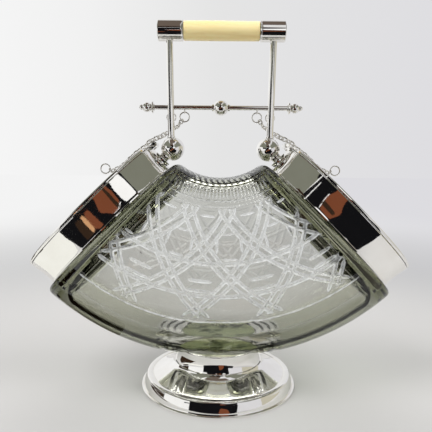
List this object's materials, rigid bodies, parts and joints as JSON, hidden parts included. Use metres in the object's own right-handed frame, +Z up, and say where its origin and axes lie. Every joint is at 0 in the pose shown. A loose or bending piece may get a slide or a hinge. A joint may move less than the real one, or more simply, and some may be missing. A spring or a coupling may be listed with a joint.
{
  "type": "biscuit barrel",
  "caption": "Fan-shaped cut-glass biscuit barrel with a hinged silver-plated lid at each end, a bail handle with chains, and a round pedestal foot.",
  "frame": {"origin": "centre of the foot's underside, on the surface that it stands on", "axes": "+X from the left mouth to the right mouth, +Y from the front to the back, +Z up"},
  "size_m": [0.2996, 0.125, 0.2891],
  "materials": {
    "silver_plate": "mirror polished silver plate",
    "cut_glass": "clear, deeply cut",
    "ivory_grip": "smooth, lightly polished, fine lengthwise grain",
    "steel": "plain turned",
    "plaster": "matt plaster"
  },
  "bodies": {
    "base": {"foot": "silver_plate", "foot_bedding": "plaster", "glass_body": "cut_glass", "grip": "ivory_grip", "grip_rod": "steel", "crossbar": "silver_plate", "crossbar_ball": "silver_plate", "left_collar": "silver_plate", "left_collar_bedding": "plaster", "left_hinge_pin": "silver_plate", "left_post": "silver_plate", "left_post_nut": "steel", "left_ball": "silver_plate", "left_arm": "silver_plate", "left_cap": "silver_plate", "left_finial": "silver_plate", "left_bar_eye": "silver_plate", "left_arm_eye": "silver_plate", "left_chain": "silver_plate", "right_collar": "silver_plate", "right_collar_bedding": "plaster", "right_hinge_pin": "silver_plate", "right_post": "silver_plate", "right_post_nut": "steel", "right_ball": "silver_plate", "right_arm": "silver_plate", "right_cap": "silver_plate", "right_finial": "silver_plate", "right_bar_eye": "silver_plate", "right_arm_eye": "silver_plate", "right_chain": "silver_plate"},
    "left_lid": {"left_lid": "silver_plate", "left_lid_eye": "silver_plate"},
    "right_lid": {"right_lid": "silver_plate", "right_lid_eye": "silver_plate"},
    "left_lid_ring": {"left_lid_ring": "silver_plate"},
    "right_lid_ring": {"right_lid_ring": "silver_plate"},
    "left_bar_ring": {"left_bar_ring": "silver_plate"},
    "right_bar_ring": {"right_bar_ring": "silver_plate"},
    "left_arm_ring": {"left_arm_ring": "silver_plate"},
    "right_arm_ring": {"right_arm_ring": "silver_plate"}
  },
  "joints": [
    {"name": "left_lid_hinge", "type": "hinge", "parent": "base", "child": "left_lid", "pos_m": [-0.05165, 0, 0.19347], "axis": [0, 1, 0], "range_deg": [0, 102], "deforming": ["left_chain"]},
    {"name": "right_lid_hinge", "type": "hinge", "parent": "base", "child": "right_lid", "pos_m": [0.05165, 0, 0.19347], "axis": [0, -1, 0], "range_deg": [0, 102], "deforming": ["right_chain"]},
    {"name": "left_lid_ring_swing", "type": "hinge", "parent": "left_lid", "child": "left_lid_ring", "pos_m": [-0.0876, 0, 0.17327], "axis": [0.7071, 0, 0.7071], "range_deg": [-80, 80]},
    {"name": "right_lid_ring_swing", "type": "hinge", "parent": "right_lid", "child": "right_lid_ring", "pos_m": [0.0876, 0, 0.17327], "axis": [-0.7071, 0, 0.7071], "range_deg": [-80, 80]},
    {"name": "left_bar_ring_swing", "type": "hinge", "parent": "base", "child": "left_bar_ring", "pos_m": [-0.0284, 0, 0.2189], "axis": [1, 0, 0], "range_deg": [-80, 80]},
    {"name": "right_bar_ring_swing", "type": "hinge", "parent": "base", "child": "right_bar_ring", "pos_m": [0.0284, 0, 0.2189], "axis": [1, 0, 0], "range_deg": [-80, 80]},
    {"name": "left_arm_ring_swing", "type": "hinge", "parent": "base", "child": "left_arm_ring", "pos_m": [-0.0393, 0.00445, 0.2189], "axis": [1, 0, 0], "range_deg": [0, 80]},
    {"name": "right_arm_ring_swing", "type": "hinge", "parent": "base", "child": "right_arm_ring", "pos_m": [0.0393, 0.00445, 0.2189], "axis": [1, 0, 0], "range_deg": [0, 80]}
  ]
}
